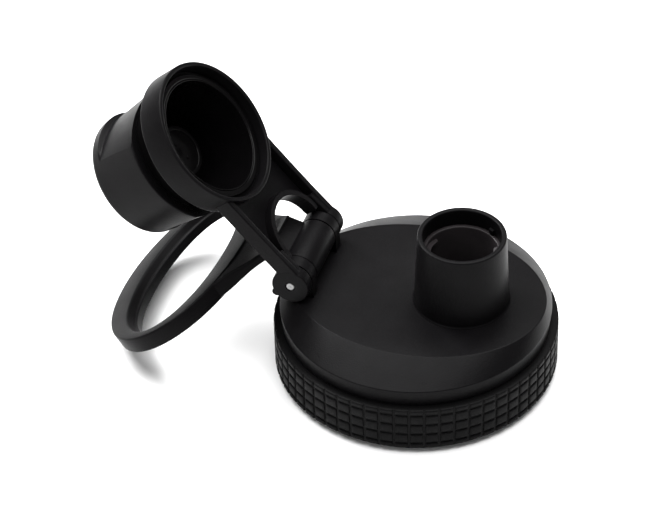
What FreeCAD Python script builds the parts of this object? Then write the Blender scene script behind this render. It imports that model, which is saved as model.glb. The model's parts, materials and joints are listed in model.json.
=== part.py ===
import FreeCAD, Part
import math
import os

# A wide-mouth bottle lid with a spout, a flip arm that carries a quarter-turn cap, and a carry loop.
# Millimetres, +Z up. The origin is on the lid's axis at the mouth of the neck thread, where the lid
# stands; +X runs from the hinge to the spout. The arm and the cap are drawn closed on the spout and
# then turned open about the hinge pin. The cap is drawn unscrewed, at the top of its travel.

# ---- Driving dimensions: lid ----
ridge_radius = 40.0
ridge_height = 21.7
plateau_height = 26.4
plateau_half_length = 38.0
plateau_half_width = 29.1
plateau_centre_x = 0.8
wall = 2.4
hem_height = 1.9
grip_top = 16.25
grip_root_radius = 38.4
grip_skin_radius = 41.3
grip_pad_radius = 42.0
top_pad_height = 1.85
pad_row_pitch = 3.55
pad_lines = 4
pads_round = 60
pad_groove = 0.6
pad_phase = 2.2

# ---- Driving dimensions: bottle neck ----
neck_crest_radius = 32.6
neck_crest_top = 14.8
neck_relief_radius = 33.6
neck_thread_depth = 1.0
neck_thread_pitch = 4.5
neck_thread_turns = 1.6
liner_plate_bottom = 16.4
liner_plate_top = 18.4
neck_skirt_radius = 36.2

# ---- Driving dimensions: spout ----
spout_x = 13.93
spout_top = 50.0
spout_base_radius = 13.9
spout_top_radius = 12.9
spout_mouth_radius = 11.3
spout_sleeve_radius = 12.1
ledge_height = 44.6
throat_radius = 10.3
thread_tip_radius = 9.0

# ---- Driving dimensions: hinge ----
hinge_x = -33.1
hinge_z = 32.3
pin_radius = 1.25
running_gap = 0.05
body_gap = 0.3
knuckle_radius = 5.6
barrel_half_length = 8.6
lug_outer_y = 12.65
ear_inner_y = 12.95
arm_half_width = 16.6
open_angle = 131.1

# ---- Driving dimensions: arm ----
ring_radius = 21.9
ring_bottom = 26.8
ring_height = 8.5
ring_mouth_radius = 20.5
ring_shoulder_radius = 18.35
ring_shoulder_depth = 4.5
flange_thickness = 2.0
flange_bottom = 27.6
flange_top = 32.4
web_thickness = 1.7
window_radius = 11.0
window_x = -25.9
window_rim = 1.6

# ---- Driving dimensions: cap, as depths from the mouth of the ring ----
cap_travel = 2.6
cap_turn = 90.0
cup_mouth_depth = 2.7
cup_bore_radius = 17.0
cup_throat_radius = 15.3
cup_wall_radius = 18.05
cup_thickness = 1.2
cup_step_depth = 15.0
cup_groove_depth = 0.55
cup_ceiling_thickness = 1.4
cup_ceiling_depth = 26.2
plug_end_depth = 14.6
plug_end_radius = 8.0
plug_root_radius = 8.9
plug_thread_radius = 9.3
plug_rib_height = 44.45
knob_skirt_depth = 14.0
knob_end_depth = 34.6
knob_skirt_radius = 21.3
knob_end_radius = 18.2
scallop_depth = 2.3
scallop_radius = 29.0
scallop_stop = 4.2

# ---- Driving dimensions: carry loop, in its own plane: u outward from the pin, e across the band ----
loop_angle = 214.4
loop_centre_u = 40.7
loop_outer_u = 24.4
loop_outer_y = 34.9
loop_inner_u = 15.0
loop_inner_y = 29.8
loop_top_e = -11.2
loop_bottom_e = -5.8
loop_lip_e = -8.8
loop_neck_thickness = 2.8

HINGE = FreeCAD.Vector(hinge_x, 0, hinge_z)
X_AXIS = FreeCAD.Vector(1, 0, 0)
Y_AXIS = FreeCAD.Vector(0, 1, 0)
Z_AXIS = FreeCAD.Vector(0, 0, 1)


# ---- Shared shapes ----
def revolved(outline, axis_x=0.0):
    """A solid turned about a vertical axis from (radius, height) corners."""
    corners = [FreeCAD.Vector(axis_x + radius, 0, z) for radius, z in outline]
    face = Part.Face(Part.makePolygon(corners + corners[:1]))
    return face.revolve(FreeCAD.Vector(axis_x, 0, 0), Z_AXIS, 360)


def tube(inner, outer, bottom, top, axis_x=0.0):
    """A plain ring between two radii and two heights."""
    return revolved([(inner, bottom), (outer, bottom), (outer, top), (inner, top)], axis_x)


def disc(radius, bottom, top, axis_x=0.0):
    """A plain round post."""
    return Part.makeCylinder(radius, top - bottom, FreeCAD.Vector(axis_x, 0, bottom))


def cross_bar(radius, y_from, y_to):
    """A round bar on the hinge axis."""
    start = FreeCAD.Vector(hinge_x, y_from, hinge_z)
    return Part.makeCylinder(radius, y_to - y_from, start, Y_AXIS)


def side_plate(outline, y_from, y_to):
    """A plate across Y, from (x, z) corners."""
    corners = [FreeCAD.Vector(x, y_from, z) for x, z in outline]
    face = Part.Face(Part.makePolygon(corners + corners[:1]))
    return face.extrude(FreeCAD.Vector(0, y_to - y_from, 0))


def box(x_from, x_to, y_from, y_to, z_from, z_to):
    """A block between opposite corners."""
    size = (x_to - x_from, y_to - y_from, z_to - z_from)
    return Part.makeBox(*size, FreeCAD.Vector(x_from, y_from, z_from))


def rounded(solid, fillet, circles):
    """Rounds the circular edges whose (radius, height) is listed."""
    chosen = []
    for edge in solid.Edges:
        curve = edge.Curve
        if not isinstance(curve, Part.Circle):
            continue
        for radius, height in circles:
            if abs(curve.Radius - radius) < 0.01 and abs(curve.Center.z - height) < 0.01:
                chosen.append(edge)
    return solid.makeFillet(fillet, chosen)


def circle_to_oval(radius, z_low, half_length, half_width, z_high):
    """The lid's shoulder: a circle below that turns into an oval above."""
    circle = Part.Circle(FreeCAD.Vector(0, 0, z_low), Z_AXIS, radius)
    centre = FreeCAD.Vector(plateau_centre_x, 0, z_high)
    long_end = FreeCAD.Vector(plateau_centre_x + half_length, 0, z_high)
    wide_end = FreeCAD.Vector(plateau_centre_x, half_width, z_high)
    oval = Part.Ellipse(long_end, wide_end, centre)
    wires = [Part.Wire(circle.toShape()), Part.Wire(oval.toShape())]
    return Part.makeLoft(wires, True, True)


def helical_rib(core_radius, tip_radius, thickness, middle_angle, half_angle, middle_z, rise, axis_x):
    """One thread start: a rib between two radii that climbs as it goes round, in short steps."""
    steps = 8
    step_angle = 2 * half_angle / steps
    inner = min(core_radius, tip_radius)
    outer = max(core_radius, tip_radius)
    pieces = []
    for step in range(steps):
        angle = -half_angle + (step + 0.5) * step_angle
        z_middle = middle_z + rise * angle / half_angle
        low = z_middle - thickness / 2
        corners = [(inner, low), (outer, low), (outer, low + thickness), (inner, low + thickness)]
        points = [FreeCAD.Vector(axis_x + r, 0, z) for r, z in corners]
        face = Part.Face(Part.makePolygon(points + points[:1]))
        axis_point = FreeCAD.Vector(axis_x, 0, 0)
        wedge = face.revolve(axis_point, Z_AXIS, step_angle * 1.02)
        wedge.rotate(axis_point, Z_AXIS, middle_angle + angle - step_angle / 2)
        pieces.append(wedge)
    return pieces[0].multiFuse(pieces[1:])


def opened(solid):
    """Turns a piece drawn closed about the pin to the open rest pose."""
    turned = solid.copy()
    turned.rotate(HINGE, Y_AXIS, -open_angle)
    return turned


def single(shape):
    """Cleans a result and returns its one solid."""
    clean = shape.removeSplitter()
    if len(clean.Solids) == 1:
        return clean.Solids[0]
    return clean


# ---- Lid body ----
def lid_shell():
    outer = revolved([
        (0, 0), (ridge_radius, 0), (ridge_radius, hem_height), (grip_root_radius, hem_height),
        (grip_root_radius, grip_top), (ridge_radius - 0.5, grip_top), (ridge_radius, ridge_height),
        (0, ridge_height),
    ])
    shoulder = circle_to_oval(
        ridge_radius, ridge_height, plateau_half_length, plateau_half_width, plateau_height)
    cavity_radius = grip_root_radius - 2.0
    cavity_side_top = liner_plate_top + 0.8
    cavity = disc(cavity_radius, -1, cavity_side_top)
    cavity_roof = circle_to_oval(
        cavity_radius, cavity_side_top,
        plateau_half_length - wall, plateau_half_width - wall, plateau_height - wall)
    shell = outer.fuse([shoulder]).cut(cavity.fuse([cavity_roof]))
    shell = shell.fuse([hinge_lug(-1), hinge_lug(1)])
    spout_hole = disc(spout_sleeve_radius + 0.55, plateau_height - wall - 1, plateau_height + 1, spout_x)
    pin_hole = cross_bar(pin_radius, -lug_outer_y - 1, lug_outer_y + 1)
    return single(shell.cut(spout_hole.fuse([pin_hole])))


def hinge_lug(side):
    """One of the two lugs that hold the pin, with a foot that runs down into the shoulder."""
    y_inner = barrel_half_length + body_gap
    y_from, y_to = sorted((side * y_inner, side * lug_outer_y))
    knuckle = cross_bar(knuckle_radius, y_from, y_to)
    foot_bottom = ridge_height + 0.6
    foot = side_plate([
        (hinge_x - knuckle_radius, hinge_z), (hinge_x - 4.6, 27.0), (hinge_x - 3.2, foot_bottom),
        (hinge_x + 5.8, foot_bottom), (hinge_x + 5.8, plateau_height), (hinge_x + knuckle_radius, 28.6),
        (hinge_x + knuckle_radius, hinge_z),
    ], y_from, y_to)
    return knuckle.fuse([foot])


def grip_band():
    band = tube(grip_root_radius, grip_pad_radius, hem_height, grip_top)
    cutters = []
    for line in range(pad_lines):
        z = grip_top - top_pad_height - line * pad_row_pitch
        cutters.append(tube(grip_skin_radius, grip_pad_radius + 1, z - pad_groove / 2, z + pad_groove / 2))
    slot = box(grip_skin_radius, grip_pad_radius + 1, -pad_groove / 2, pad_groove / 2,
               hem_height - 1, grip_top + 1)
    for index in range(pads_round):
        cutter = slot.copy()
        cutter.rotate(FreeCAD.Vector(0, 0, 0), Z_AXIS, pad_phase + index * 360.0 / pads_round)
        cutters.append(cutter)
    return single(band.cut(Part.makeCompound(cutters)))


def lid_liner():
    """The inner half of the lid: a plate under the roof and the threaded skirt for the bottle neck."""
    plate_hole = throat_radius
    body = revolved([
        (0, liner_plate_bottom), (neck_relief_radius, liner_plate_bottom),
        (neck_relief_radius, neck_crest_top), (neck_crest_radius, neck_crest_top), (neck_crest_radius, 0),
        (neck_skirt_radius, 0), (neck_skirt_radius, liner_plate_top), (0, liner_plate_top),
    ])
    body = body.cut(disc(plate_hole, 0, liner_plate_top + 1, spout_x))
    ring_groove = tube(28.2, 31.2, liner_plate_bottom - 0.1, liner_plate_bottom + 0.7)
    body = body.cut(ring_groove)
    return single(body.cut(neck_thread_groove()))


def neck_thread_groove():
    """The helical groove of the female neck thread, cut outwards from the crest radius."""
    bottom = 2.6
    half_mouth = 1.25
    half_root = 0.7
    helix = Part.makeHelix(neck_thread_pitch, neck_thread_pitch * neck_thread_turns, neck_crest_radius)
    helix.translate(FreeCAD.Vector(0, 0, bottom))
    inside = neck_crest_radius - 0.6
    root = neck_crest_radius + neck_thread_depth
    corners = [(inside, -half_mouth), (inside, half_mouth), (root, half_root), (root, -half_root)]
    points = [FreeCAD.Vector(radius, 0, bottom + z) for radius, z in corners]
    profile = Part.makePolygon(points + points[:1])
    return Part.Wire(helix.Edges).makePipeShell([profile], True, True)


def neck_gasket():
    return rounded(
        tube(28.3, 31.1, liner_plate_bottom - 1.4, liner_plate_bottom + 0.65), 0.5,
        [(28.3, liner_plate_bottom - 1.4), (31.1, liner_plate_bottom - 1.4)])


# ---- Spout ----
def spout():
    """The outer spout, with a neck that drops through the roof of the shell."""
    foot_bottom = plateau_height - wall - 0.6
    neck_radius = spout_sleeve_radius + 0.5
    body = revolved([
        (spout_sleeve_radius, foot_bottom), (neck_radius, foot_bottom), (neck_radius, plateau_height),
        (spout_base_radius + 0.5, plateau_height), (spout_base_radius, plateau_height + 0.5),
        (spout_top_radius, spout_top), (spout_mouth_radius, spout_top),
        (spout_mouth_radius, ledge_height), (spout_sleeve_radius, ledge_height),
    ], spout_x)
    body = rounded(body, 0.6, [(spout_top_radius, spout_top), (spout_mouth_radius, spout_top)])
    return single(body.fuse([turn_stop()]))


def turn_stop():
    """The small stop on the wall of the mouth that ends the cap's quarter turn."""
    half_width = 0.9
    stop = box(
        spout_mouth_radius - 0.9, spout_mouth_radius + 0.6, -half_width, half_width,
        ledge_height + 0.4, ledge_height + 2.0)
    stop.translate(FreeCAD.Vector(spout_x, 0, 0))
    stop.rotate(FreeCAD.Vector(spout_x, 0, 0), Z_AXIS, 55.0)
    return stop


def spout_bore():
    """The glossy inner tube of the spout, with its ledge, its two thread starts and its flange."""
    flange_top = plateau_height - wall - 1.9
    flange_bottom_z = liner_plate_top
    fit = 0.02
    body = revolved([
        (throat_radius, flange_bottom_z), (17.0, flange_bottom_z), (17.0, flange_top),
        (spout_sleeve_radius - fit, flange_top), (spout_sleeve_radius - fit, ledge_height - fit),
        (throat_radius + 0.5, ledge_height - fit), (throat_radius, ledge_height - 0.5),
    ], spout_x)
    ribs = [
        helical_rib(throat_radius + 0.3, thread_tip_radius, 1.0, angle, 28.0, locked_rib_height(), 0.81,
                    spout_x)
        for angle in (0.0, 180.0)
    ]
    return single(body.fuse(ribs))


def locked_rib_height():
    """Height of the spout's ribs, just above where the plug's ribs end up."""
    rib_thickness = 1.0
    return plug_rib_height - cap_travel + rib_thickness + 0.25


def spout_gasket():
    """The seal between the flange of the inner tube and the roof of the shell."""
    bottom = plateau_height - wall - 1.9
    return tube(spout_sleeve_radius + 0.7, 16.4, bottom, plateau_height - wall, spout_x)


# ---- Hinge and arm ----
def hinge_pin():
    pin = cross_bar(pin_radius, -arm_half_width + 0.1, arm_half_width - 0.1)
    return pin.makeChamfer(0.25, [e for e in pin.Edges if isinstance(e.Curve, Part.Circle)])


def flip_arm():
    web_bottom = flange_top - web_thickness
    pieces = [
        tube(ring_mouth_radius, ring_radius, ring_bottom, ring_bottom + ring_shoulder_depth, spout_x),
        tube(ring_shoulder_radius, ring_radius, ring_bottom + ring_shoulder_depth,
             ring_bottom + ring_height, spout_x),
    ]
    web_end = hinge_x + knuckle_radius + 0.55
    window_rim_bottom = flange_bottom + 0.5
    web = box(web_end, spout_x, -arm_half_width + 0.5, arm_half_width - 0.5,
              web_bottom, web_bottom + web_thickness)
    rim = disc(window_radius + window_rim, window_rim_bottom, web_bottom + web_thickness, window_x)
    rim_keep = box(web_end, spout_x, -arm_half_width, arm_half_width, 0, plateau_height * 2)
    pieces.append(web)
    pieces.append(rim.common(rim_keep))
    for side in (-1, 1):
        pieces.extend(arm_side(side))
    body = pieces[0].multiFuse(pieces[1:])
    cutters = [
        disc(window_radius, 0, plateau_height * 2, window_x),
        box(hinge_x - 10, window_x, -window_radius, window_radius, 0, plateau_height * 2),
        disc(ring_mouth_radius, 0, ring_bottom + ring_shoulder_depth, spout_x),
        disc(ring_shoulder_radius, 0, plateau_height * 2, spout_x),
        cross_bar(pin_radius + running_gap, -arm_half_width - 1, arm_half_width + 1),
    ]
    body = body.cut(Part.makeCompound(cutters[:1]))
    for cutter in cutters[1:]:
        body = body.cut(cutter)
    return opened(single(body))


def arm_side(side):
    """One side of the arm: the ear on the pin, its small stop nub, and the flange that runs to the ring."""
    y_from, y_to = sorted((side * ear_inner_y, side * arm_half_width))
    ear = cross_bar(knuckle_radius, y_from, y_to)
    ear_end_x = hinge_x + knuckle_radius + 4.5
    cheek = side_plate([
        (hinge_x, hinge_z - knuckle_radius), (ear_end_x, flange_bottom), (ear_end_x, flange_top),
        (hinge_x, flange_top),
    ], y_from, y_to)
    nub_centre = FreeCAD.Vector(hinge_x + 0.6, y_from, hinge_z + knuckle_radius - 0.3)
    nub = Part.makeCylinder(1.3, y_to - y_from, nub_centre, Y_AXIS)
    y_from, y_to = sorted((side * (arm_half_width - flange_thickness), side * arm_half_width))
    ring_meets = spout_x - math.sqrt(ring_radius ** 2 - arm_half_width ** 2) + 1.2
    flange = side_plate([
        (ear_end_x - 1, flange_bottom), (ring_meets, flange_bottom), (ring_meets, flange_top + 0.4),
        (ear_end_x - 1, flange_top),
    ], y_from, y_to)
    return [ear, cheek, nub, flange]


# ---- Cap ----
def at_depth(depth):
    """Height, arm closed, of a depth measured from the mouth of the ring."""
    return ring_bottom + depth


def cap_retaining_ring():
    """The snap ring that keeps the cap in the arm: it slides in the mouth of the ring."""
    bottom = at_depth(cup_mouth_depth)
    top = at_depth(ring_shoulder_depth) - body_gap
    ring = tube(cup_wall_radius - cup_groove_depth, ring_mouth_radius - 1.15, bottom, top, spout_x)
    return opened(rounded(ring, 0.35, [(ring_mouth_radius - 1.15, bottom)]))


def cap_cup():
    """The inside of the cap: its wall, with the groove it is held by, and its ceiling."""
    mouth = at_depth(cup_mouth_depth) + running_gap
    clip_top = at_depth(ring_shoulder_depth) - body_gap + running_gap
    ceiling = at_depth(cup_ceiling_depth)
    back = ceiling + cup_ceiling_thickness
    step = at_depth(cup_step_depth)
    groove_radius = cup_wall_radius - cup_groove_depth - running_gap
    outer_radius = cup_throat_radius + cup_thickness
    return opened(revolved([
        (cup_bore_radius, mouth), (groove_radius, mouth), (groove_radius, clip_top),
        (cup_wall_radius, clip_top), (cup_wall_radius, step), (outer_radius, step + 1.6),
        (outer_radius, back), (0, back), (0, ceiling), (cup_throat_radius, ceiling),
        (cup_throat_radius, step + 2.0), (cup_bore_radius, mouth + 3.5),
    ], spout_x))


def cap_plug():
    """The plug on the ceiling of the cup, with its two thread starts and a seat for its end disc."""
    ceiling = at_depth(cup_ceiling_depth)
    end = at_depth(plug_end_depth)
    seat_radius = plug_end_radius - 1.6
    rim_radius = plug_end_radius - 0.4
    body = revolved([
        (0, end + 0.8), (seat_radius, end + 0.8), (seat_radius, end), (rim_radius, end),
        (plug_end_radius, end + 0.4), (plug_root_radius, end + 3.9), (plug_root_radius, ceiling),
        (0, ceiling),
    ], spout_x)
    ribs = [
        helical_rib(rim_radius, plug_thread_radius, 1.0, angle, 28.0, plug_rib_height, 0.81, spout_x)
        for angle in (90.0, 270.0)
    ]
    return opened(single(body.fuse(ribs)))


def cap_gasket():
    """The flat seal on the ceiling of the cup that meets the rim of the spout."""
    ceiling = at_depth(cup_ceiling_depth)
    return opened(tube(plug_root_radius + 0.3, cup_throat_radius - 0.2, ceiling - 0.38, ceiling, spout_x))


def plug_disc():
    """The round insert in the end of the plug, with its two sprue marks."""
    end = at_depth(plug_end_depth)
    insert = disc(plug_end_radius - 1.65, end + 0.3, end + 0.8, spout_x)
    for x in (-2.6, 2.6):
        insert = insert.fuse([disc(0.45, end + 0.1, end + 0.35, spout_x + x)])
    return opened(single(insert))


def cap_knob():
    """The outside of the cap: a tapered knob with two finger scallops."""
    skirt = at_depth(knob_skirt_depth)
    end = at_depth(knob_end_depth)
    cup_top = at_depth(cup_ceiling_depth) + cup_ceiling_thickness
    cup_radius = cup_throat_radius + cup_thickness + 0.02
    step = at_depth(cup_step_depth)
    body = revolved([
        (cup_wall_radius + 0.02, skirt), (knob_skirt_radius - 0.4, skirt),
        (knob_skirt_radius, skirt + 0.4), (knob_skirt_radius - 0.5, skirt + 3.0),
        (knob_end_radius + 0.3, end - 3.2), (knob_end_radius - 0.1, end - 1.6),
        (knob_end_radius - 1.7, end), (0, end), (0, end - 2.0), (14.0, end - 2.0),
        (14.0, cup_top), (cup_radius, cup_top), (cup_radius, step + 1.6),
        (cup_wall_radius + 0.02, step),
    ], spout_x)
    for angle in (0.0, 180.0):
        body = body.cut(finger_scallop(angle, skirt, end))
    return opened(single(body))


def finger_scallop(angle, skirt, end):
    """The cutter for one scallop: what lies outside a flatter, leaning round, short of the closed end."""
    top = end - scallop_stop
    skirt_floor = knob_skirt_radius - scallop_depth
    top_floor = knob_end_radius - 1.2
    lean = math.degrees(math.atan2(skirt_floor - top_floor, top - skirt))
    core = Part.makeCylinder(scallop_radius, 80, FreeCAD.Vector(-scallop_radius, 0, -40))
    core.rotate(FreeCAD.Vector(0, 0, 0), Y_AXIS, -lean)
    core.translate(FreeCAD.Vector(spout_x + skirt_floor, 0, skirt))
    block = box(spout_x + 5, spout_x + 40, -25, 25, skirt - 1, top)
    cutter = block.cut(core)
    cutter.rotate(FreeCAD.Vector(spout_x, 0, 0), Z_AXIS, angle)
    return cutter


# ---- Carry loop ----
def loop_oval(half_u, half_y, e):
    """An oval outline round the loop's middle, flat in its own plane."""
    centre = FreeCAD.Vector(loop_centre_u, 0, e)
    wide_end = FreeCAD.Vector(loop_centre_u, half_y, e)
    near_end = FreeCAD.Vector(loop_centre_u + half_u, 0, e)
    return Part.Wire(Part.Ellipse(wide_end, near_end, centre).toShape())


def oval_block(half_u, half_y, e_from, e_to):
    return Part.Face(loop_oval(half_u, half_y, e_from)).extrude(FreeCAD.Vector(0, 0, e_to - e_from))


def loop_neck():
    """The plate that flares from the knuckle on the pin out to the oval band."""
    near = [FreeCAD.Vector(4.0, 8.2, 0), FreeCAD.Vector(12.0, 12.7, 0), FreeCAD.Vector(21.0, 20.0, 0)]
    far = [FreeCAD.Vector(p.x, -p.y, 0) for p in near]
    edges = [
        Part.Arc(*near).toShape(),
        Part.LineSegment(near[2], far[2]).toShape(),
        Part.Arc(far[2], far[1], far[0]).toShape(),
        Part.LineSegment(far[0], near[0]).toShape(),
    ]
    plate = Part.Face(Part.Wire(edges)).extrude(FreeCAD.Vector(0, 0, loop_neck_thickness))
    top = (loop_top_e + loop_bottom_e - loop_neck_thickness) / 2
    plate.translate(FreeCAD.Vector(0, 0, top))
    bottom = top + loop_neck_thickness
    root = [
        (9.0, top), (4.8, top), (0.6, -5.2), (-3.0, -3.0), (1.0, 4.6), (5.2, 1.6), (8.2, bottom),
        (9.0, bottom),
    ]
    half_root = near[0].y
    corners = [FreeCAD.Vector(u, -half_root, e) for u, e in root]
    root_face = Part.Face(Part.makePolygon(corners + corners[:1]))
    return plate.fuse([root_face.extrude(FreeCAD.Vector(0, 2 * half_root, 0))])


def carry_loop():
    band = oval_block(loop_outer_u, loop_outer_y, loop_top_e, loop_bottom_e)
    barrel = Part.makeCylinder(
        knuckle_radius, 2 * barrel_half_length, FreeCAD.Vector(0, -barrel_half_length, 0), Y_AXIS)
    body = band.fuse([loop_neck(), barrel])
    hole = oval_block(loop_inner_u, loop_inner_y, loop_top_e - 1, loop_bottom_e + 1)
    slope = Part.makeLoft([
        loop_oval(loop_inner_u + 1.0, loop_inner_y + 1.0, loop_lip_e),
        loop_oval(loop_inner_u + 2.0, loop_inner_y + 2.0, loop_top_e - 0.01),
    ], True, True)
    pin_hole = Part.makeCylinder(
        pin_radius + running_gap, 2 * arm_half_width, FreeCAD.Vector(0, -arm_half_width, 0), Y_AXIS)
    body = single(body.cut(hole).cut(slope).cut(pin_hole))
    body.rotate(FreeCAD.Vector(0, 0, 0), Y_AXIS, -loop_angle)
    body.translate(HINGE)
    return body


NODES = {
    "lid_shell": lid_shell,
    "grip_band": grip_band,
    "lid_liner": lid_liner,
    "neck_gasket": neck_gasket,
    "spout": spout,
    "spout_bore": spout_bore,
    "spout_gasket": spout_gasket,
    "hinge_pin": hinge_pin,
    "flip_arm": flip_arm,
    "cap_retaining_ring": cap_retaining_ring,
    "cap_cup": cap_cup,
    "cap_plug": cap_plug,
    "cap_gasket": cap_gasket,
    "plug_disc": plug_disc,
    "cap_knob": cap_knob,
    "carry_loop": carry_loop,
}


def main():
    os.makedirs("parts", exist_ok=True)
    for name, make in NODES.items():
        solid = make()
        solid.exportStep("parts/" + name + ".step")
        print(name, "valid", solid.isValid(), "solids", len(solid.Solids), "mm3", round(solid.Volume))


main()
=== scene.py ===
import json
import math

import bmesh
import bpy
from mathutils import Matrix, Vector


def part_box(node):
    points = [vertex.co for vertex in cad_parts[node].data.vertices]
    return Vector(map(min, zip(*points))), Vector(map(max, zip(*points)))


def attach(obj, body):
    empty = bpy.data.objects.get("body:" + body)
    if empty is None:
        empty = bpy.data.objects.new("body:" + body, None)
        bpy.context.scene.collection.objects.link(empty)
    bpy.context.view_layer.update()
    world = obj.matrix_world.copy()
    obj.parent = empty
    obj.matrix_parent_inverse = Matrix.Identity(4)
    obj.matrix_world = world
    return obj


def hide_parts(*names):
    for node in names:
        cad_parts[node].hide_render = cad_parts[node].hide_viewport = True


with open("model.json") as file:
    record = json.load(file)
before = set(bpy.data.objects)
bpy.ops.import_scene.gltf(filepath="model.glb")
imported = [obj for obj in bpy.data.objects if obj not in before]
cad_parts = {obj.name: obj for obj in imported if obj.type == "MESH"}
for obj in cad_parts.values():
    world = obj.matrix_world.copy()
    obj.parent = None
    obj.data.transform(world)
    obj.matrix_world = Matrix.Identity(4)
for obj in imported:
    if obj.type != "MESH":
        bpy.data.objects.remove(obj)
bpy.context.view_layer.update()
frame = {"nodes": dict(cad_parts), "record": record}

# A black bottle lid with a spout, a flip arm that carries a screw cap, and a carry loop.
# Shapes are drawn in millimetres and written in metres. Those on the arm are drawn closed on the
# spout and then turned open, as the CAD does; those of the loop in the loop's own plane.

MM = 0.001
SMOOTH_ANGLE = 32.0

# ---- What the frame says ----
JOINTS = {joint["name"]: joint for joint in frame["record"]["behaviour"]["joints"]}
HINGE = Vector(JOINTS["arm_flip"]["pos_m"]) / MM
OPEN_ANGLE = math.radians(JOINTS["arm_flip"]["range_deg"][1])


def box_mm(node):
    """Lowest and highest corners of a CAD node, in millimetres."""
    low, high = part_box(node)
    return low / MM, high / MM


SPOUT_LOW, SPOUT_HIGH = box_mm("spout")
SPOUT_X = (SPOUT_LOW.x + SPOUT_HIGH.x) / 2
GRIP_LOW, GRIP_HIGH = box_mm("grip_band")
PAD_RADIUS = GRIP_HIGH.x
PIN_LOW, PIN_HIGH = box_mm("hinge_pin")
PIN_RADIUS = (PIN_HIGH.z - PIN_LOW.z) / 2
ARM_HALF_WIDTH = PIN_HIGH.y + 0.1

# ---- Lid, as in the CAD, but for a grip skin 0.25 mm further out, which softens its grooves ----
RIDGE_RADIUS = box_mm("lid_shell")[1].x
RIDGE_HEIGHT = 21.7
PLATEAU_HEIGHT = 26.4
PLATEAU_HALF = (38.0, 29.1)
PLATEAU_CENTRE_X = 0.8
WALL = 2.4
RIDGE_SET_BACK = 0.5
LINER_CLEARANCE = 0.8
GRIP_ROOT = 38.4
GRIP_SKIN = 41.55
TOP_PAD_HEIGHT = 1.85
PAD_ROW_PITCH = 3.55
PAD_LINES = 4
PADS_ROUND = 60
PAD_GROOVE = 0.6
PAD_PHASE = math.radians(2.2)
NECK_RADIUS = 36.4
LINER_TOP = box_mm("lid_liner")[1].z

# ---- Spout, as in the CAD ----
SPOUT_TOP = SPOUT_HIGH.z
SPOUT_BASE_RADIUS = 13.9
SPOUT_TOP_RADIUS = 12.9
SPOUT_MOUTH_RADIUS = 11.3
SLEEVE_RADIUS = 12.1
SLEEVE_THICKNESS = 0.5
SLEEVE_FIT = 0.05
FOOT_FLARE = 0.5
LEDGE_HEIGHT = box_mm("spout_bore")[1].z
THROAT_RADIUS = 10.3
THREAD_TIP = 9.0
THREAD_RISE = 0.81
THREAD_HALF_ANGLE = 28.0
THREAD_THICKNESS = 1.0
SPOUT_RIB_HEIGHT = 43.1
SPOUT_RIB_ANGLES = (0.0, 180.0)
STOP_ANGLE = 55.0

# ---- Hinge and arm, as in the CAD ----
KNUCKLE_RADIUS = 5.6
BARREL_HALF = 8.6
LUG_INNER_Y = 8.9
LUG_OUTER_Y = 12.65
EAR_INNER_Y = 12.95
RING_RADIUS = 21.9
RING_BOTTOM = 26.8
RING_TOP = 35.3
RING_MOUTH_RADIUS = 20.5
RING_SHOULDER_RADIUS = 18.35
RING_SHOULDER = 31.3
FLANGE_THICKNESS = 2.0
FLANGE_BOTTOM = 27.6
FLANGE_TOP = 32.4
WEB_BOTTOM = 30.7
WEB_TOP = 32.4
EAR_BORE = 1.3
NUB_RADIUS = 1.3
HAIR = 0.03
WINDOW_RADIUS = 11.0
WINDOW_X = -25.9
WINDOW_RIM = 1.6
WEB_START = HINGE.x + KNUCKLE_RADIUS + 0.55
SIDE_START = HINGE.x + 2.0
CHEEK_END = HINGE.x + KNUCKLE_RADIUS + 4.5

# ---- Cap, closed, as in the CAD, but for the knob's edges, which are rounded ----
CUP_LIP = RING_BOTTOM + 2.7
CUP_BORE = 17.0
CUP_THROAT = 15.3
CUP_WALL = 18.05
CUP_OUTER = 16.5
CUP_STEP = RING_BOTTOM + 15.0
CUP_CEILING = RING_BOTTOM + 26.2
CUP_CEILING_THICKNESS = 1.4
PLUG_END = RING_BOTTOM + 14.6
PLUG_END_RADIUS = 8.0
PLUG_RADIUS = 8.9
PLUG_THREAD = 9.3
PLUG_RIB_HEIGHT = 44.45
PLUG_RIB_ANGLES = (90.0, 270.0)
MARK_RADIUS = 0.5
MARK_OFFSET = 2.6
CLIP_RADIUS = 19.35
KNOB_EDGE = 1.9
SKIRT_EDGE = 0.5
KNOB_ROOF = 2.0
KNOB_CAVITY_RADIUS = 14.0
KNOB_FIT = 0.02
KNOB_SKIRT = RING_BOTTOM + 14.0
KNOB_END = RING_BOTTOM + 34.6
KNOB_SKIRT_RADIUS = 21.3
KNOB_END_RADIUS = 18.2
SCALLOP_DEPTH = 2.3
SCALLOP_RADIUS = 29.0
SCALLOP_STOP = 4.2
SCALLOP_FADE = 1.2
SCALLOP_TOP_DEPTH = 1.2

# ---- Carry loop, in its own plane: u outward from the pin, e across the band ----
LOOP_ANGLE = math.radians(214.4)
LOOP_CENTRE_U = 40.7
LOOP_OUTER = (24.4, 34.9)
LOOP_INNER = (15.0, 29.8)
LOOP_TOP_E = -11.2
LOOP_BOTTOM_E = -5.8
LOOP_LIP_E = -8.8
NECK_TOP_E = -9.9
NECK_BOTTOM_E = -7.1
NECK_HALF = 8.2
NECK_SIDE = ((4.0, NECK_HALF), (12.0, 12.7), (21.0, 20.0))
SWELL_START = 9.5
SWELL_LENGTH = 10.0
SWELL_INSET = 0.25

# ---- Finishes: the grain is in metres, the scales are repeats in a metre ----
MOTTLE_SPREAD = 0.12
MOTTLE_SCALE = 160.0
SHEEN_SPREAD = 0.05
SHEEN_SCALE = 90.0
GRAIN_DEPTH = 0.00006

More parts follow.
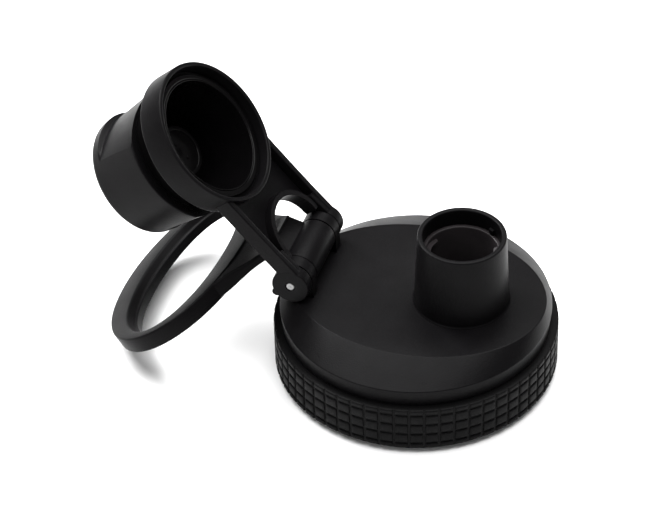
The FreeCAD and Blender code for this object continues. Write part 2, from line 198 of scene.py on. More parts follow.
# ---- Stage: lengths in metres ----
STAGE_DIMMING = 0.36
# Painted light: the inside of the spout is painted a lighter black than its inner plastic, standing in for
# light inside it.
SPOUT_INSIDE_PAINTED_LIGHT = (0.02, 0.0175, 0.0185)
FLOOR_SIZE = 8.0
FLOOR_DROP = 0.0001

# ---- Camera ----
CAMERA_ELEVATION = 39.91
CAMERA_AZIMUTH = 19.15
CAMERA_ROLL = -1.53
CAMERA_LENS = 161.2
ORIGIN_FROM_CAMERA = Vector((24.21, 29.32, 895.1))


# ---- Places ----
def closed_to_open():
    """Turns what is drawn closed about the pin to the rest pose."""
    there = Matrix.Translation(HINGE)
    return there @ Matrix.Rotation(-OPEN_ANGLE, 4, "Y") @ Matrix.Translation(-HINGE)


def loop_place():
    """From the loop's own plane to the row frame."""
    return Matrix.Translation(HINGE) @ Matrix.Rotation(-LOOP_ANGLE, 4, "Y")


# ---- Outlines ----
def softened(outline, radius, steps=4):
    """A closed outline with every corner rounded, by less where its sides are short."""
    result = []
    count = len(outline)
    for index in range(count):
        corner = Vector(outline[index])
        before = Vector(outline[index - 1]) - corner
        after = Vector(outline[(index + 1) % count]) - corner
        reach = min(radius, 0.45 * before.length, 0.45 * after.length)
        start = corner + before.normalized() * reach
        end = corner + after.normalized() * reach
        for step in range(steps + 1):
            t = step / steps
            point = start * (1 - t) ** 2 + corner * 2 * t * (1 - t) + end * t ** 2
            result.append(tuple(point))
    return result


def arc(centre, radius, start, end, steps=24):
    """Points on an arc, angles in degrees."""
    points = []
    for step in range(steps + 1):
        angle = math.radians(start + (end - start) * step / steps)
        points.append((centre[0] + radius * math.cos(angle), centre[1] + radius * math.sin(angle)))
    return points


# ---- Meshes ----
def finished(name, mesh_data, place=None, smooth_angle=SMOOTH_ANGLE):
    """Turns a bmesh drawn in millimetres into an object, smooth except over sharp edges."""
    bmesh.ops.remove_doubles(mesh_data, verts=mesh_data.verts, dist=0.0005)
    bmesh.ops.dissolve_degenerate(mesh_data, edges=mesh_data.edges, dist=0.0002)
    bmesh.ops.recalc_face_normals(mesh_data, faces=mesh_data.faces)
    if place is not None:
        bmesh.ops.transform(mesh_data, matrix=place, verts=mesh_data.verts)
    bmesh.ops.scale(mesh_data, vec=(MM, MM, MM), verts=mesh_data.verts)
    limit = math.radians(smooth_angle)
    for face in mesh_data.faces:
        face.smooth = True
    for edge in mesh_data.edges:
        if len(edge.link_faces) == 2:
            edge.smooth = edge.calc_face_angle(0.0) < limit
    mesh = bpy.data.meshes.new(name)
    mesh_data.to_mesh(mesh)
    mesh_data.free()
    obj = bpy.data.objects.new(name, mesh)
    bpy.context.collection.objects.link(obj)
    return obj


def add_rings(mesh_data, rings, wrap=True):
    """Skins closed rings of equal length; wrap joins the last ring to the first."""
    rows = [[mesh_data.verts.new(point) for point in ring] for ring in rings]
    pairs = list(zip(rows, rows[1:]))
    if wrap:
        pairs.append((rows[-1], rows[0]))
    for low, high in pairs:
        for index in range(len(low)):
            after = (index + 1) % len(low)
            mesh_data.faces.new((low[index], low[after], high[after], high[index]))


def add_lathe(mesh_data, outline, axis_x=0.0, segments=192):
    """A turned solid from a closed outline of (radius, height)."""
    rings = []
    for radius, z in outline:
        ring = []
        for index in range(segments):
            angle = 2 * math.pi * index / segments
            ring.append((axis_x + radius * math.cos(angle), radius * math.sin(angle), z))
        rings.append(ring)
    add_rings(mesh_data, rings)


def add_prism(mesh_data, outline, axis, start, end, edge_round, steps=3):
    """A plate with an outline across the given axis and rounded rims. For axis Y the outline is (x, z)."""
    def corner(point, level):
        if axis == "Y":
            return (point[0], level, point[1])
        return (point[0], point[1], level)
    low = [mesh_data.verts.new(corner(point, start)) for point in outline]
    high = [mesh_data.verts.new(corner(point, end)) for point in outline]
    mesh_data.faces.new(low)
    mesh_data.faces.new(high)
    rims = []
    for index in range(len(outline)):
        after = (index + 1) % len(outline)
        mesh_data.faces.new((low[index], low[after], high[after], high[index]))
        rims.append(mesh_data.edges.get((low[index], low[after])))
        rims.append(mesh_data.edges.get((high[index], high[after])))
    bmesh.ops.bevel(
        mesh_data, geom=rims, offset=edge_round, offset_type="OFFSET", segments=steps, profile=0.5,
        affect="EDGES", clamp_overlap=True)


def add_helical_rib(mesh_data, root, tip, middle_angle, middle_z):
    """One thread start about the spout's axis, tapering away at both ends."""
    steps = 28
    rows = []
    for step in range(steps + 1):
        share = -1 + 2 * step / steps
        angle = math.radians(middle_angle + share * THREAD_HALF_ANGLE)
        taper = math.sqrt(max(0.0, 1 - abs(share) ** 8))
        height = root + (tip - root) * taper
        z = middle_z + THREAD_RISE * share
        half = THREAD_THICKNESS / 2
        section = [(root, z - half), (height, z - half * 0.6), (height, z + half * 0.6), (root, z + half)]
        row = []
        for radius, level in section:
            row.append((SPOUT_X + radius * math.cos(angle), radius * math.sin(angle), level))
        rows.append([mesh_data.verts.new(point) for point in row])
    for before, after in zip(rows, rows[1:]):
        for index in range(4):
            follow = (index + 1) % 4
            mesh_data.faces.new((before[index], before[follow], after[follow], after[index]))
    mesh_data.faces.new(rows[0])
    mesh_data.faces.new(rows[-1])


def placed(obj, body, nodes):
    """Rides a piece on its body, in place of the CAD nodes it stands for."""
    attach(obj, body)
    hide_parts(*nodes)
    return obj


# ---- Lid ----
def oval_ring(half_x, half_y, centre_x, z, segments=256):
    """Points round an oval at one height."""
    ring = []
    for index in range(segments):
        angle = 2 * math.pi * index / segments
        ring.append(Vector((centre_x + half_x * math.cos(angle), half_y * math.sin(angle), z)))
    return ring


def rounded_rings(rings, radius, steps=4):
    """Rings with every turn from one to the next rounded, as softened does for an outline."""
    result = []
    count = len(rings)
    for index in range(count):
        blends = [[] for step in range(steps + 1)]
        for corner, before, after in zip(rings[index], rings[index - 1], rings[(index + 1) % count]):
            back = before - corner
            onward = after - corner
            reach = min(radius, 0.45 * back.length, 0.45 * onward.length)
            start = corner + back.normalized() * reach
            end = corner + onward.normalized() * reach
            for step in range(steps + 1):
                t = step / steps
                blends[step].append(start * (1 - t) ** 2 + corner * 2 * t * (1 - t) + end * t ** 2)
        result.extend(blends)
    return result


def lid_shell():
    """The shell: straight sides, a shoulder that rises to the oval plateau, and the two hinge lugs."""
    half_x, half_y = PLATEAU_HALF
    hole = SLEEVE_RADIUS + SLEEVE_THICKNESS + SLEEVE_FIT
    roof = PLATEAU_HEIGHT - WALL
    rings = [
        oval_ring(RIDGE_RADIUS, RIDGE_RADIUS, 0, 0),
        oval_ring(RIDGE_RADIUS, RIDGE_RADIUS, 0, GRIP_LOW.z),
        oval_ring(GRIP_ROOT, GRIP_ROOT, 0, GRIP_LOW.z),
        oval_ring(GRIP_ROOT, GRIP_ROOT, 0, GRIP_HIGH.z),
        oval_ring(RIDGE_RADIUS - RIDGE_SET_BACK, RIDGE_RADIUS - RIDGE_SET_BACK, 0, GRIP_HIGH.z),
        oval_ring(RIDGE_RADIUS, RIDGE_RADIUS, 0, RIDGE_HEIGHT),
        oval_ring(half_x, half_y, PLATEAU_CENTRE_X, PLATEAU_HEIGHT),
        oval_ring(hole, hole, SPOUT_X, PLATEAU_HEIGHT),
        oval_ring(hole, hole, SPOUT_X, roof),
        oval_ring(half_x - WALL, half_y - WALL, PLATEAU_CENTRE_X, roof),
        oval_ring(NECK_RADIUS, NECK_RADIUS, 0, LINER_TOP + LINER_CLEARANCE),
        oval_ring(NECK_RADIUS, NECK_RADIUS, 0, 0),
    ]
    mesh_data = bmesh.new()
    add_rings(mesh_data, rounded_rings(rings, 0.28))
    for side in (-1, 1):
        start, end = sorted((side * LUG_INNER_Y, side * LUG_OUTER_Y))
        add_prism(mesh_data, lug_outline(), "Y", start, end, 0.35)
    return placed(finished("shell", mesh_data), "lid", ["lid_shell"])


def lug_outline():
    """Side view of a hinge lug: round above, with a foot that runs into the shoulder."""
    x = HINGE.x
    foot = RIDGE_HEIGHT + 0.6
    outline = arc((x, HINGE.z), KNUCKLE_RADIUS, 0, 180, 40)
    outline += [(x - 4.6, 27.0), (x - 3.2, foot), (x + 5.8, foot), (x + 5.8, PLATEAU_HEIGHT)]
    outline += [(x + KNUCKLE_RADIUS, 28.6)]
    return outline


def grip_band():
    """The soft grip: a skin with rows of small raised pads."""
    mesh_data = bmesh.new()
    low = GRIP_LOW.z
    high = GRIP_HIGH.z
    skin = [(GRIP_ROOT, low), (GRIP_SKIN, low), (GRIP_SKIN, high), (GRIP_ROOT, high)]
    add_lathe(mesh_data, softened(skin, 0.2, 2), 0.0, 240)
    turn = 2 * math.pi / PADS_ROUND
    half_turn = turn / 2 - PAD_GROOVE / 2 / PAD_RADIUS
    lines = [high - TOP_PAD_HEIGHT - line * PAD_ROW_PITCH for line in range(PAD_LINES)]
    tops = [high] + [line - PAD_GROOVE / 2 for line in lines]
    bottoms = [line + PAD_GROOVE / 2 for line in lines] + [low]
    for top, bottom in zip(tops, bottoms):
        for index in range(PADS_ROUND):
            add_pad(mesh_data, PAD_PHASE + (index + 0.5) * turn, half_turn, bottom, top)
    return placed(finished("grip", mesh_data, smooth_angle=50.0), "lid", ["grip_band"])


def add_pad(mesh_data, middle, half_turn, bottom, top):
    """One raised pad, a small pillow with its edges eased."""
    ease = 0.3
    levels = [(GRIP_SKIN - 0.2, 0.0), (PAD_RADIUS - ease, 0.08), (PAD_RADIUS - ease * 0.3, 0.2),
              (PAD_RADIUS, 0.42)]
    columns = 4
    rows = []
    for radius, inset in levels:
        loop = []
        half = half_turn - inset / PAD_RADIUS
        low = bottom + inset
        high = top - inset
        for step in range(columns + 1):
            loop.append((middle - half + 2 * half * step / columns, low))
        for step in range(columns, -1, -1):
            loop.append((middle - half + 2 * half * step / columns, high))
        ring = []
        for angle, z in loop:
            ring.append(mesh_data.verts.new((radius * math.cos(angle), radius * math.sin(angle), z)))
        rows.append(ring)
    for before, after in zip(rows, rows[1:]):
        for index in range(len(before)):
            follow = (index + 1) % len(before)
            mesh_data.faces.new((before[index], before[follow], after[follow], after[index]))
    crown = rows[-1]
    for step in range(columns):
        opposite = 2 * columns + 1 - step
        mesh_data.faces.new((crown[step], crown[step + 1], crown[opposite - 1], crown[opposite]))


# ---- Spout ----
def spout():
    """The outer spout, flared a little into the plateau."""
    foot = SPOUT_LOW.z
    sleeve_outside = SLEEVE_RADIUS + SLEEVE_THICKNESS
    outline = [
        (SLEEVE_RADIUS, foot), (sleeve_outside, foot), (sleeve_outside, PLATEAU_HEIGHT),
        (SPOUT_BASE_RADIUS + FOOT_FLARE, PLATEAU_HEIGHT), (SPOUT_BASE_RADIUS, PLATEAU_HEIGHT + FOOT_FLARE),
        (SPOUT_TOP_RADIUS, SPOUT_TOP), (SPOUT_MOUTH_RADIUS, SPOUT_TOP),
        (SPOUT_MOUTH_RADIUS, LEDGE_HEIGHT), (SLEEVE_RADIUS, LEDGE_HEIGHT),
    ]
    mesh_data = bmesh.new()
    add_lathe(mesh_data, softened(outline, 0.6, 5), SPOUT_X)
    add_turn_stop(mesh_data)
    return placed(finished("spout_outside", mesh_data), "lid", ["spout"])


def add_turn_stop(mesh_data):
    """The small rounded stop on the wall of the mouth that ends the cap's quarter turn."""
    bottom = LEDGE_HEIGHT + 0.4
    top = LEDGE_HEIGHT + 2.0
    half = 0.9
    angle = math.radians(STOP_ANGLE)
    turned = Matrix.Translation((SPOUT_X, 0, 0)) @ Matrix.Rotation(angle, 4, "Z")
    stop = bmesh.new()
    inner = SPOUT_MOUTH_RADIUS - 0.9
    outer = SPOUT_MOUTH_RADIUS + 0.6
    corners = [(inner, -half), (outer, -half), (outer, half), (inner, half)]
    add_prism(stop, softened(corners, 0.5, 4), "Z", bottom, top, 0.3)
    bmesh.ops.transform(stop, matrix=turned, verts=stop.verts)
    spare = bpy.data.meshes.new("stop")
    stop.to_mesh(spare)
    stop.free()
    mesh_data.from_mesh(spare)
    bpy.data.meshes.remove(spare)


def spout_bore():
    """The glossy tube inside the spout, with two thread starts."""
    low, high = box_mm("spout_bore")
    flange_radius = (high.y - low.y) / 2
    flange_top = box_mm("spout_gasket")[0].z
    outside = SLEEVE_RADIUS - 0.02
    outline = [
        (THROAT_RADIUS, low.z), (flange_radius, low.z), (flange_radius, flange_top),
        (outside, flange_top), (outside, LEDGE_HEIGHT), (THROAT_RADIUS, LEDGE_HEIGHT),
    ]
    mesh_data = bmesh.new()
    add_lathe(mesh_data, softened(outline, 0.5, 5), SPOUT_X)
    for angle in SPOUT_RIB_ANGLES:
        add_helical_rib(mesh_data, THROAT_RADIUS + 0.2, THREAD_TIP, angle, SPOUT_RIB_HEIGHT)
    return placed(finished("spout_inside_painted_light", mesh_data), "lid", ["spout_bore"])


# ---- Hinge pin and arm ----
def hinge_pin():
    """The pin, its ends slightly domed."""
    outline = [(0.0, PIN_LOW.y), (PIN_RADIUS, PIN_LOW.y), (PIN_RADIUS, PIN_HIGH.y), (0.0, PIN_HIGH.y)]
    rings = []
    for radius, y in softened(outline, 0.3, 3):
        ring = []
        for index in range(48):
            angle = 2 * math.pi * index / 48
            ring.append((HINGE.x + radius * math.cos(angle), y, HINGE.z + radius * math.sin(angle)))
        rings.append(ring)
    mesh_data = bmesh.new()
    add_rings(mesh_data, rings)
    return placed(finished("pin", mesh_data), "lid", ["hinge_pin"])


def flip_arm():
    """The arm: a ring for the cap, a web with a window, two flanges and two ears on the pin."""
    mesh_data = bmesh.new()
    ring = [
        (RING_MOUTH_RADIUS, RING_BOTTOM), (RING_RADIUS, RING_BOTTOM), (RING_RADIUS, RING_TOP),
        (RING_SHOULDER_RADIUS, RING_TOP), (RING_SHOULDER_RADIUS, RING_SHOULDER),
        (RING_MOUTH_RADIUS, RING_SHOULDER),
    ]
    add_lathe(mesh_data, softened(ring, 0.55, 5), SPOUT_X)
    add_prism(mesh_data, web_outline(), "Z", WEB_BOTTOM, WEB_TOP, 0.25)
    add_prism(mesh_data, window_rim_outline(), "Z", FLANGE_BOTTOM + 0.5, WEB_TOP, 0.3)
    for side in (-1, 1):
        plate = sorted((side * (ARM_HALF_WIDTH - FLANGE_THICKNESS), side * (ARM_HALF_WIDTH - HAIR)))
        add_prism(mesh_data, side_outline(), "Y", *plate, 0.35)
        cheek = sorted((side * EAR_INNER_Y, side * (ARM_HALF_WIDTH - 1.0)))
        add_prism(mesh_data, cheek_outline(), "Y", *cheek, 0.3)
        ear = sorted((side * EAR_INNER_Y, side * ARM_HALF_WIDTH))
        add_knuckle(mesh_data, HINGE, EAR_BORE, *ear)
        nub = (HINGE.x + 0.6, HINGE.z + KNUCKLE_RADIUS - 0.3)
        nub_span = sorted((side * (EAR_INNER_Y + HAIR), side * (ARM_HALF_WIDTH - HAIR)))
        add_prism(mesh_data, arc(nub, NUB_RADIUS, 0, 345, 23), "Y", *nub_span, 0.3)
    arm = finished("arm", mesh_data, closed_to_open())
    return placed(arm, "arm", ["flip_arm"])


def web_outline():
    """Plan of the web: between the flanges, from the window to inside the ring."""
    half = ARM_HALF_WIDTH - 0.5
    reach = math.degrees(math.asin(half / (RING_SHOULDER_RADIUS + 0.6)))
    outline = arc((SPOUT_X, 0), RING_SHOULDER_RADIUS + 0.6, 180 - reach, 180 + reach, 40)
    outline += [(WEB_START, -half), (WEB_START, -WINDOW_RADIUS), (WINDOW_X, -WINDOW_RADIUS)]
    outline += arc((WINDOW_X, 0), WINDOW_RADIUS, -85, 85, 40)
    outline += [(WINDOW_X, WINDOW_RADIUS), (WEB_START, WINDOW_RADIUS), (WEB_START, half)]
    return outline


def window_rim_outline():
    """Plan of the raised rim round the window."""
    outside = WINDOW_RADIUS + WINDOW_RIM
    outline = arc((WINDOW_X, 0), outside, -90, 90, 48)
    outline += [(WEB_START, outside), (WEB_START, WINDOW_RADIUS)]
    outline += arc((WINDOW_X, 0), WINDOW_RADIUS, 90, -90, 48)
    outline += [(WEB_START, -WINDOW_RADIUS), (WEB_START, -outside)]
    return outline


def side_outline():
    """Side view of the arm's side, from beside the pin to the ring."""
    end = SPOUT_X - math.sqrt(RING_RADIUS ** 2 - ARM_HALF_WIDTH ** 2) - 0.05
    return [
        (SIDE_START, HINGE.z - KNUCKLE_RADIUS + 0.4), (CHEEK_END, FLANGE_BOTTOM), (end, FLANGE_BOTTOM),
        (end, FLANGE_TOP + 0.4), (SIDE_START, FLANGE_TOP)]


def cheek_outline():
    """Side view of the thicker part of the side, beside the ear, a little inside the side's outline."""
    inset = 0.2
    return [
        (SIDE_START, HINGE.z - KNUCKLE_RADIUS + 0.6), (CHEEK_END, FLANGE_BOTTOM + inset),
        (CHEEK_END, FLANGE_TOP - inset), (SIDE_START, FLANGE_TOP - inset)]


def add_knuckle(mesh_data, centre, bore, start, end):
    """A ring about the pin, with rounded rims."""
    outline = [(bore, start), (KNUCKLE_RADIUS, start), (KNUCKLE_RADIUS, end), (bore, end)]
    rings = []
    for radius, y in softened(outline, 0.35, 4):
        ring = []
        for index in range(96):
            angle = 2 * math.pi * index / 96
            ring.append((centre.x + radius * math.cos(angle), y, centre.z + radius * math.sin(angle)))
        rings.append(ring)
    add_rings(mesh_data, rings)


# ---- Cap ----
def cap_cup():
    """The glossy inside of the cap."""
    back = CUP_CEILING + CUP_CEILING_THICKNESS
    groove_top = RING_SHOULDER - 0.25
    groove_radius = CUP_WALL - 0.6
    outline = [
        (CUP_BORE, CUP_LIP), (groove_radius, CUP_LIP), (groove_radius, groove_top), (CUP_WALL, groove_top),
        (CUP_WALL, CUP_STEP), (CUP_OUTER, CUP_STEP + 1.6), (CUP_OUTER, back), (0, back), (0, CUP_CEILING),
        (CUP_THROAT, CUP_CEILING), (CUP_THROAT, CUP_STEP + 2.0), (CUP_BORE, CUP_LIP + 3.5),
    ]
    mesh_data = bmesh.new()
    add_lathe(mesh_data, softened(outline, 0.35, 4), SPOUT_X)
    cup = finished("cup", mesh_data, closed_to_open())
    return placed(cup, "cap", ["cap_cup"])


def cap_plug():
    """The plug in the cup, with two thread starts and a sunk end."""
    end = PLUG_END
    seat_radius = PLUG_END_RADIUS - 1.6
    rim_radius = PLUG_END_RADIUS - 0.4
    outline = [
        (0, end + 0.8), (seat_radius, end + 0.8), (seat_radius, end), (rim_radius, end),
        (PLUG_END_RADIUS, end + 0.4), (PLUG_RADIUS, end + 3.9), (PLUG_RADIUS, CUP_CEILING),
        (0, CUP_CEILING),
    ]
    mesh_data = bmesh.new()
    add_lathe(mesh_data, softened(outline, 0.3, 4), SPOUT_X)
    for angle in PLUG_RIB_ANGLES:
        add_helical_rib(mesh_data, rim_radius, PLUG_THREAD, angle, PLUG_RIB_HEIGHT)
    plug = finished("plug", mesh_data, closed_to_open())
    return placed(plug, "cap", ["cap_plug"])


def plug_disc():
    """The insert in the plug's end: a thin disc with two small domed marks."""
    face = PLUG_END + 0.3
    mesh_data = bmesh.new()
    back = face + 0.5
    radius = PLUG_END_RADIUS - 1.65
    insert = [(0, face), (radius, face), (radius, back), (0, back)]
    add_lathe(mesh_data, softened(insert, 0.12, 2), SPOUT_X, 96)
    for x in (-MARK_OFFSET, MARK_OFFSET):
        tip = face - 0.35
        root = face + 0.1
        dome = [(0, tip), (MARK_RADIUS, tip), (MARK_RADIUS, root), (0, root)]
        add_lathe(mesh_data, softened(dome, 0.3, 5), SPOUT_X + x, 32)
    disc = finished("plug_end", mesh_data, closed_to_open())
    return placed(disc, "cap", ["plug_disc"])


def cap_ring():
    """The snap ring round the mouth of the cup."""
    inner = CUP_WALL - 0.55
    top = RING_SHOULDER - 0.3
    outline = [(inner, CUP_LIP), (CLIP_RADIUS, CUP_LIP), (CLIP_RADIUS, top), (inner, top)]
    mesh_data = bmesh.new()
    add_lathe(mesh_data, softened(outline, 0.55, 6), SPOUT_X)
    ring = finished("snap_ring", mesh_data, closed_to_open())
    return placed(ring, "cap_float", ["cap_retaining_ring"])


def knob_taper(z):
    """Radius of the knob's straight taper at a height."""
    along = (z - KNOB_SKIRT) / (KNOB_END - KNOB_SKIRT)
    return KNOB_SKIRT_RADIUS + (KNOB_END_RADIUS - KNOB_SKIRT_RADIUS) * along


def knob_outer(z):
    """Radius of the knob at a height, without the scallops: a straight taper, rounded at both ends."""
    radius = knob_taper(z)
    from_end = KNOB_END - z
    if from_end < KNOB_EDGE:
        radius -= KNOB_EDGE - math.sqrt(KNOB_EDGE ** 2 - (KNOB_EDGE - from_end) ** 2)
    from_skirt = z - KNOB_SKIRT
    if from_skirt < SKIRT_EDGE:
        radius -= SKIRT_EDGE - math.sqrt(SKIRT_EDGE ** 2 - (SKIRT_EDGE - from_skirt) ** 2)
    return radius


def scallop_centre(z):
    """How far the centre of the flatter round lies from the cap's axis at a height."""
    top = KNOB_END - SCALLOP_STOP
    along = min(1.0, (z - KNOB_SKIRT) / (top - KNOB_SKIRT))
    skirt_floor = KNOB_SKIRT_RADIUS - SCALLOP_DEPTH
    top_floor = KNOB_END_RADIUS - SCALLOP_TOP_DEPTH
    return skirt_floor + (top_floor - skirt_floor) * along - SCALLOP_RADIUS


def scallop_half_angle(z):
    """Angle at which the scallop's flatter round leaves the knob's own."""
    radius = knob_taper(z)
    centre = scallop_centre(z)
    x = (SCALLOP_RADIUS ** 2 - radius ** 2 - centre ** 2) / (-2 * centre)
    return math.acos(min(1.0, x / radius))


def knob_ring(z):
    """One ring of the knob's outside, with its columns gathered on the edges of the scallops."""
    top = KNOB_END - SCALLOP_STOP
    half = scallop_half_angle(min(z, top))
    outer = knob_outer(z)
    fade = min(1.0, max(0.0, (top - z) / SCALLOP_FADE))
    cut = fade * fade * (3 - 2 * fade)
    columns = 48
    ring = []
    for side in (0.0, math.pi):
        for step in range(columns):
            angle = -half + 2 * half * step / columns
            centre = scallop_centre(z)
            reach = SCALLOP_RADIUS ** 2 - (centre * math.sin(angle)) ** 2
            floor = centre * math.cos(angle) + math.sqrt(reach)
            radius = outer + (min(outer, floor) - outer) * cut
            ring.append(knob_point(radius, side + angle, z))
        for step in range(columns):
            angle = half + (math.pi - 2 * half) * step / columns
            ring.append(knob_point(outer, side + angle, z))
    return ring


def knob_point(radius, angle, z):
    """A point about the cap's axis."""
    return (SPOUT_X + radius * math.cos(angle), radius * math.sin(angle), z)


def cap_knob():
    """The outside of the cap: a tapered knob with two finger scallops."""
    top = KNOB_END - SCALLOP_STOP
    fade_start = top - SCALLOP_FADE
    skirt_top = KNOB_SKIRT + SKIRT_EDGE
    heights = [KNOB_SKIRT + SKIRT_EDGE * step / 5 for step in range(5)]
    heights += [skirt_top + (fade_start - skirt_top) * step / 12 for step in range(12)]
    heights += [fade_start + SCALLOP_FADE * step / 8 for step in range(8)]
    heights += [top + (KNOB_END - KNOB_EDGE - top) * step / 4 for step in range(4)]
    heights += [KNOB_END - KNOB_EDGE * math.cos(math.pi / 2 * step / 10) for step in range(11)]
    rings = [knob_ring(z) for z in heights]
    crown = rings[-1]
    for share in (0.9, 0.5, 0.0):
        rings.append([(SPOUT_X + (x - SPOUT_X) * share, y * share, z) for x, y, z in crown])
    roof = KNOB_END - KNOB_ROOF
    cup_back = CUP_CEILING + CUP_CEILING_THICKNESS
    inside = [
        (0, roof), (KNOB_CAVITY_RADIUS, roof), (KNOB_CAVITY_RADIUS, cup_back),
        (CUP_OUTER + KNOB_FIT, cup_back), (CUP_OUTER + KNOB_FIT, CUP_STEP + 1.6),
        (CUP_WALL + KNOB_FIT, CUP_STEP), (CUP_WALL + KNOB_FIT, KNOB_SKIRT),
    ]
    count = len(crown)
    for radius, z in inside:
        rings.append([knob_point(radius, 2 * math.pi * index / count, z) for index in range(count)])
    mesh_data = bmesh.new()
    add_rings(mesh_data, rings)
    knob = finished("knob", mesh_data, closed_to_open(), 12.0)
    return placed(knob, "cap", ["cap_knob"])


# ---- Carry loop ----
def carry_loop():
    """The loop: an oval band with a stepped inner edge, a flared neck and a knuckle on the pin."""
    mesh_data = bmesh.new()
    inner_u, inner_y = LOOP_INNER
    steps = [
        (*LOOP_OUTER, LOOP_BOTTOM_E), (*LOOP_OUTER, LOOP_TOP_E),
        (inner_u + 2.0, inner_y + 2.0, LOOP_TOP_E), (inner_u + 1.0, inner_y + 1.0, LOOP_LIP_E),
        (inner_u, inner_y, LOOP_LIP_E), (inner_u, inner_y, LOOP_BOTTOM_E),
    ]
    rings = [oval_ring(half_u, half_y, LOOP_CENTRE_U, e) for half_u, half_y, e in steps]
    add_rings(mesh_data, rounded_rings(rings, 0.6, 4))
    add_neck(mesh_data)
    add_prism(mesh_data, neck_root_outline(), "Y", -NECK_HALF + HAIR, NECK_HALF - HAIR, 0.5)
    add_knuckle(mesh_data, Vector((0, 0, 0)), EAR_BORE, -BARREL_HALF, BARREL_HALF)
    loop = finished("loop", mesh_data, loop_place())
    return placed(loop, "loop", ["carry_loop"])


def add_neck(mesh_data):
    """The neck: sections that widen and thicken along a concave curve, from the root to the band."""
    near, middle, far = [Vector(point) for point in NECK_SIDE]
    bend = 2 * middle - (near + far) / 2
    steps = 28
    rings = []
    for step in range(steps + 1):
        t = step / steps
        u, half = near * (1 - t) ** 2 + bend * 2 * t * (1 - t) + far * t * t
        along = min(1.0, max(0.0, (u - SWELL_START) / SWELL_LENGTH))
        swell = along * along * (3 - 2 * along)
        top = NECK_TOP_E + (LOOP_TOP_E + SWELL_INSET - NECK_TOP_E) * swell
        bottom = NECK_BOTTOM_E + (LOOP_BOTTOM_E - SWELL_INSET - NECK_BOTTOM_E) * swell
        section = [(-half, top), (half, top), (half, bottom), (-half, bottom)]
        rings.append([(u, y, e) for y, e in softened(section, 0.9, 5)])
    add_rings(mesh_data, rings, wrap=False)
    for ring in (rings[0], rings[-1]):
        mesh_data.faces.new([mesh_data.verts.new(point) for point in ring])


def neck_root_outline():
    """Side view of the root that joins the neck to the knuckle."""
    return softened([
        (9.0, NECK_TOP_E), (4.8, NECK_TOP_E), (0.6, -5.2), (-3.0, -3.0), (1.0, 4.6), (5.2, 1.6),
        (8.2, NECK_BOTTOM_E), (9.0, NECK_BOTTOM_E)], 0.8, 3)


# ---- Materials ----
def mapped(tree, source, low, high):
    """A noise output stretched to a range."""
    node = tree.nodes.new("ShaderNodeMapRange")
    node.inputs["From Min"].default_value = 0.3
    node.inputs["From Max"].default_value = 0.7
    node.inputs["To Min"].default_value = low
    node.inputs["To Max"].default_value = high
    tree.links.new(source, node.inputs["Value"])
    return node.outputs["Result"]


def noise(tree, place, scale, detail=3.0):
    """A noise texture's grey output."""
    node = tree.nodes.new("ShaderNodeTexNoise")
    node.inputs["Scale"].default_value = scale
    node.inputs["Detail"].default_value = detail
    tree.links.new(place, node.inputs["Vector"])
    return node.outputs["Fac"]


def mottled(tree, place, colour, spread, scale):
    """A colour that wanders a little either side of the given one."""
    ramp = tree.nodes.new("ShaderNodeValToRGB")
    ramp.color_ramp.elements[0].position = 0.3
    ramp.color_ramp.elements[1].position = 0.7
    ramp.color_ramp.elements[0].color = (*[part * (1 - spread) for part in colour], 1)
    ramp.color_ramp.elements[1].color = (*[part * (1 + spread) for part in colour], 1)
    tree.links.new(noise(tree, place, scale), ramp.inputs["Fac"])
    return ramp.outputs["Color"]


def surface(name, colour, roughness, grain, bump, specular=0.5, metallic=0.0):
    """A moulded or drawn surface: mottled colour, uneven sheen and a fine grain."""
    material = bpy.data.materials.new(name)
    material.use_nodes = True
    tree = material.node_tree
    shader = tree.nodes["Principled BSDF"]
    place = tree.nodes.new("ShaderNodeTexCoord").outputs["Object"]
    tree.links.new(mottled(tree, place, colour, MOTTLE_SPREAD, MOTTLE_SCALE), shader.inputs["Base Color"])
    sheen = mapped(
        tree, noise(tree, place, SHEEN_SCALE), roughness - SHEEN_SPREAD, roughness + SHEEN_SPREAD)
    tree.links.new(sheen, shader.inputs["Roughness"])
    relief = tree.nodes.new("ShaderNodeBump")
    relief.inputs["Strength"].default_value = bump
    relief.inputs["Distance"].default_value = GRAIN_DEPTH
    tree.links.new(noise(tree, place, grain, 2.0), relief.inputs["Height"])
    tree.links.new(relief.outputs["Normal"], shader.inputs["Normal"])
    shader.inputs["Specular IOR Level"].default_value = specular
    shader.inputs["Metallic"].default_value = metallic
    return material


def record_colour(slot):
    """The record's base colour of a slot, dimmed for a stage that is lit to pure white."""
    base = next(entry["base_color"] for entry in frame["record"]["materials"] if entry["slot"] == slot)
    return [part * STAGE_DIMMING for part in base[:3]]


def make_materials():
    """One finish for each slot of the record, and for the spout's inside a lighter black: painted light.
    """
    return {
        "satin_black": surface(
            "satin black", record_colour("satin_black"), roughness=0.4, grain=2400.0, bump=0.75,
            specular=0.048),
        "grip_rubber": surface(
            "grip rubber", record_colour("grip_rubber"), roughness=0.5, grain=1800.0, bump=0.5,
            specular=0.055),
        "inner_plastic": surface(
            "inner plastic", record_colour("inner_plastic"), roughness=0.2, grain=1500.0, bump=0.08,
            specular=0.075),
        # Painted light: the inner plastic again, painted lighter for the light seen inside the spout.
        "spout_inside_painted_light": surface(
            "spout inside painted lighter", SPOUT_INSIDE_PAINTED_LIGHT, roughness=0.2, grain=1500.0, bump=0.08, specular=0.1),
        "silicone": surface(
            "silicone", record_colour("silicone"), roughness=0.5, grain=1500.0, bump=0.2, specular=0.2),
        "pin_steel": surface(
            "pin steel", record_colour("pin_steel"), roughness=0.45, grain=3000.0, bump=0.3, metallic=1.0),
    }


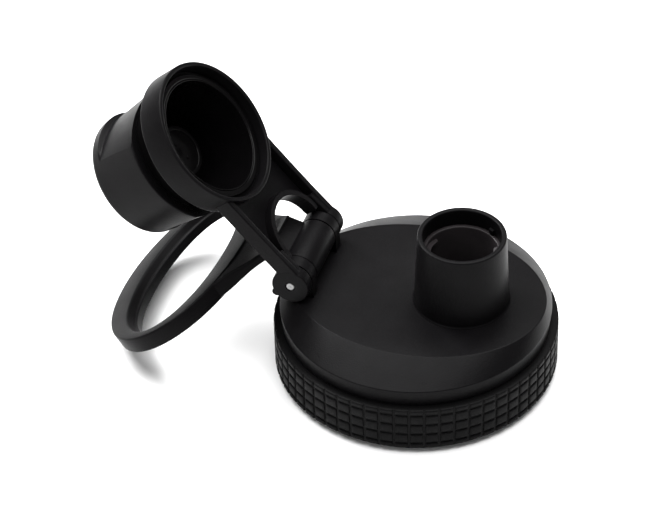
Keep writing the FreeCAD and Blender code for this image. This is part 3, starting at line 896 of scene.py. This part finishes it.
def paint(pieces, materials):
    """Gives every piece, and every CAD node still shown, the finish of its slot."""
    slots = {entry["node"]: entry["material_slot"] for entry in frame["record"]["subparts"]}
    for node, obj in frame["nodes"].items():
        obj.data.materials.clear()
        obj.data.materials.append(materials[slots[node]])
    for obj, slot in pieces:
        obj.data.materials.append(materials[slot])


# ---- Stage ----
def floor():
    """A plain pale floor, just under the lid."""
    bpy.ops.mesh.primitive_plane_add(size=FLOOR_SIZE, location=(0, 0, -FLOOR_DROP))
    plane = bpy.context.object
    plane.name = "floor"
    material = bpy.data.materials.new("pale floor")
    material.use_nodes = True
    tree = material.node_tree
    shader = tree.nodes["Principled BSDF"]
    place = tree.nodes.new("ShaderNodeTexCoord").outputs["Object"]
    tree.links.new(mottled(tree, place, (0.88, 0.88, 0.88), 0.01, 6.0), shader.inputs["Base Color"])
    shader.inputs["Roughness"].default_value = 0.8
    plane.data.materials.append(material)


def softbox(name, place, target, size, power):
    """A soft rectangular light that looks at a target."""
    light = bpy.data.lights.new(name, "AREA")
    light.shape = "RECTANGLE"
    light.size = size[0]
    light.size_y = size[1]
    light.energy = power
    obj = bpy.data.objects.new(name, light)
    obj.location = place
    aim = Vector(target) - Vector(place)
    obj.rotation_euler = aim.to_track_quat("-Z", "Y").to_euler()
    bpy.context.collection.objects.link(obj)


def lights():
    """Wide light from above, one soft box behind on the left, a weak one in front, and a dim white sky."""
    softbox("overhead", place=(-0.1, 0.2, 1.3), target=(0, 0.05, 0), size=(1.8, 1.6), power=58.0)
    softbox("back left", place=(-0.75, 0.35, 0.8), target=(-0.05, 0, 0.06), size=(0.4, 0.45), power=12.0)
    softbox("front", place=(-0.35, -1.0, 0.75), target=(0, 0, 0.02), size=(0.35, 0.3), power=0.8)
    world = bpy.data.worlds.new("studio")
    world.use_nodes = True
    world.node_tree.nodes["Background"].inputs["Color"].default_value = (1, 1, 1, 1)
    world.node_tree.nodes["Background"].inputs["Strength"].default_value = 0.3
    bpy.context.scene.world = world
    bpy.context.scene.view_settings.view_transform = "Standard"


def camera():
    """The camera, placed from where the row frame's origin lies before it."""
    elevation = math.radians(CAMERA_ELEVATION)
    azimuth = math.radians(CAMERA_AZIMUTH)
    roll = math.radians(CAMERA_ROLL)
    back = Vector((
        math.sin(azimuth) * math.cos(elevation), -math.cos(azimuth) * math.cos(elevation),
        math.sin(elevation)))
    level_right = Vector((math.cos(azimuth), math.sin(azimuth), 0))
    level_up = back.cross(level_right)
    right = level_right * math.cos(roll) + level_up * math.sin(roll)
    down = level_right * math.sin(roll) - level_up * math.cos(roll)
    away = -back
    offset = ORIGIN_FROM_CAMERA
    place = -(right * offset.x + down * offset.y + away * offset.z) * MM
    data = bpy.data.cameras.new("camera")
    data.lens = CAMERA_LENS
    data.sensor_width = 36.0
    data.clip_start = 0.01
    obj = bpy.data.objects.new("camera", data)
    turn = Matrix((right, -down, back)).transposed().to_4x4()
    obj.matrix_world = Matrix.Translation(place) @ turn
    bpy.context.collection.objects.link(obj)
    bpy.context.scene.camera = obj


def main():
    """Makes every piece, gives each its finish, and sets the stage."""
    pieces = [
        (lid_shell(), "satin_black"), (grip_band(), "grip_rubber"), (spout(), "satin_black"),
        (spout_bore(), "spout_inside_painted_light"), (hinge_pin(), "pin_steel"), (flip_arm(), "satin_black"),
        (cap_cup(), "inner_plastic"), (cap_plug(), "inner_plastic"), (plug_disc(), "inner_plastic"),
        (cap_ring(), "inner_plastic"), (cap_knob(), "satin_black"), (carry_loop(), "satin_black"),
    ]
    paint(pieces, make_materials())
    floor()
    lights()
    camera()


main()
